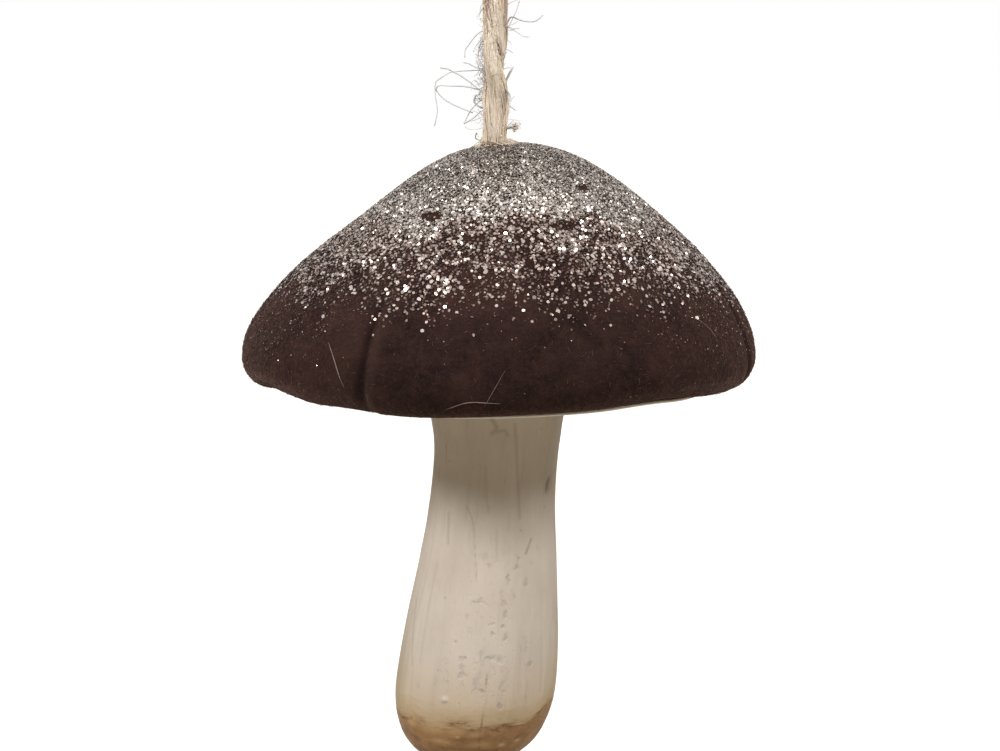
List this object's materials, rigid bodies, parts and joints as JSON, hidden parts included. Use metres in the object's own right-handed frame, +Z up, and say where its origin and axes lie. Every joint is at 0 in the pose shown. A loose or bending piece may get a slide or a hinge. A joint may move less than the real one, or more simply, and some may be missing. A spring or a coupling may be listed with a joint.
{
  "type": "hanging mushroom ornament",
  "caption": "Hanging mushroom ornament: velvet cap dusted with glitter on a leaning painted stem, swinging from a loop of doubled jute twine.",
  "frame": {"origin": "inside of the twine loop's top, where a hook bears", "axes": "+Z up along the hanging twine, +X to the right of the picture, -Y towards the viewer"},
  "size_m": [0.081, 0.081, 0.1476],
  "materials": {
    "velvet": "matte",
    "glitter": "gloss",
    "paint": "satin",
    "lining": "matte",
    "foam": "matte",
    "glue": "satin",
    "bamboo": "matte",
    "jute": "matte"
  },
  "bodies": {
    "hanger": {"twine_loop": "jute"},
    "mushroom": {"cap_core": "foam", "cap_velvet": "velvet", "cap_lining": "lining", "glitter_coat": "glitter", "stem": "paint", "stem_dowel": "bamboo", "glue_plug": "glue", "twine_tail_left": "jute", "twine_tail_right": "jute", "twine_knot": "jute"}
  },
  "joints": [
    {"name": "swing", "type": "hinge", "parent": "hanger", "child": "mushroom", "pos_m": [0, 0, -0.0448], "axis": [1, 0, 0], "range_deg": [-60, 60]}
  ]
}
